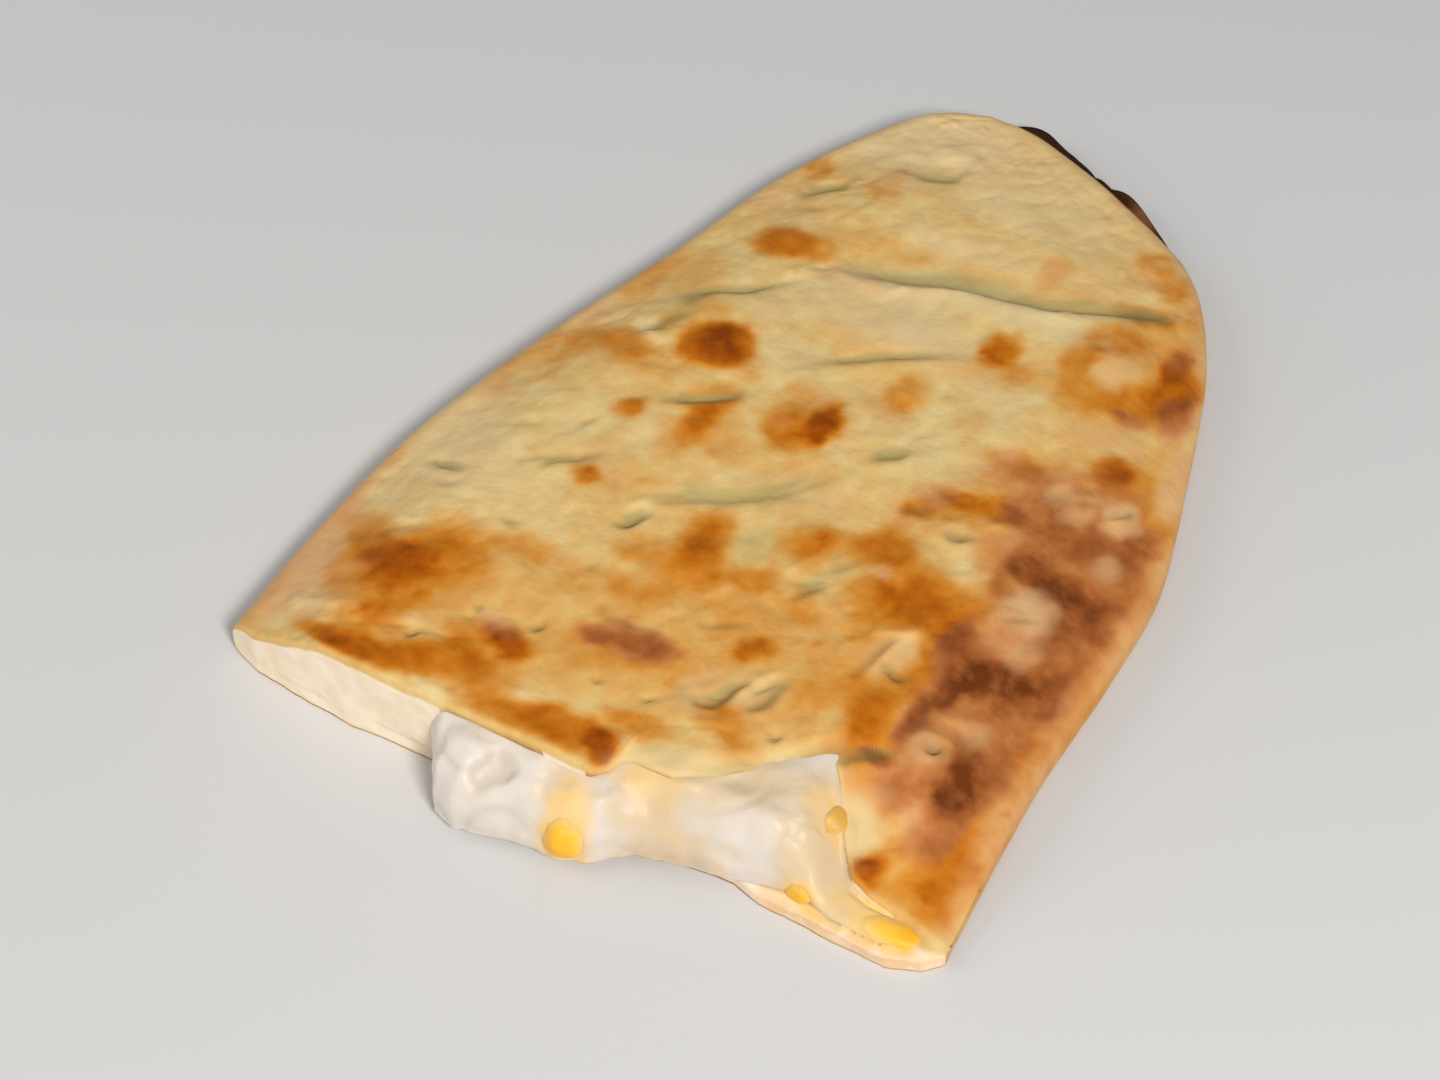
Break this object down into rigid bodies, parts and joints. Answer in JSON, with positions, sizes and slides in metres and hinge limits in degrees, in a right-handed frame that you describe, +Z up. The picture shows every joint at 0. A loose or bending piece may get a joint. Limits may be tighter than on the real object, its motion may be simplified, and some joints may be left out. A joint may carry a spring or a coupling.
{
  "type": "cheese pie half",
  "caption": "Half of a flat oval cheese-filled flatbread, cut across, with a blistered golden crust and melted white cheese bulging from the cut.",
  "frame": {"origin": "middle of the footprint's bounding box, on the flat underside that the pie rests on", "axes": "+X runs along the cut, +Y from the cut face to the rounded tip, +Z up through the top crust"},
  "size_m": [0.1238, 0.1809, 0.0165],
  "materials": {
    "baked_crust": "dry baked dough, golden with brown blisters",
    "white_cheese": "soft satin melted cheese",
    "yellow_cheese": "soft satin melted cheese"
  },
  "bodies": {
    "root": {"crust": "baked_crust", "cheese_filling": "white_cheese", "yellow_cheese_1": "yellow_cheese", "yellow_cheese_2": "yellow_cheese", "yellow_cheese_3": "yellow_cheese", "yellow_cheese_4": "yellow_cheese"}
  },
  "joints": []
}
